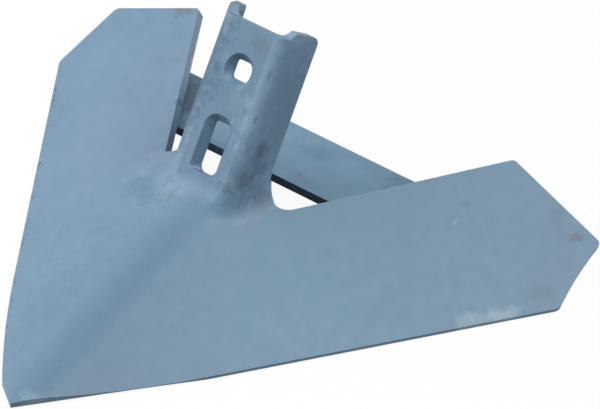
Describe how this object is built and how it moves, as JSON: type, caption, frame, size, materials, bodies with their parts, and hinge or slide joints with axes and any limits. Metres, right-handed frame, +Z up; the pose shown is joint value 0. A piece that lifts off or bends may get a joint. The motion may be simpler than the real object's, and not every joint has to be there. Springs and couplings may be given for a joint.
{
  "type": "sowing share",
  "caption": "Swept sowing share of pressed steel plate, with wings that meet in a soft crown, a flanged tongue pierced by a square bolt hole and a slot, and a flat crossbar welded behind it.",
  "frame": {"origin": "middle of the bounding box at the ground, on the plane that the cutting edges stand on", "axes": "+Z up, +Y from the nose to the rear, against the direction of travel, +X across the share towards the wing on the right of a viewer who stands in front of the nose and looks along +Y"},
  "size_m": [0.4222, 0.35, 0.157],
  "materials": {
    "share": "satin",
    "crossbar": "satin",
    "weld": "satin"
  },
  "bodies": {
    "root": {"share_body": "share", "crossbar": "crossbar", "weld_right": "weld", "weld_left": "weld"}
  },
  "joints": []
}
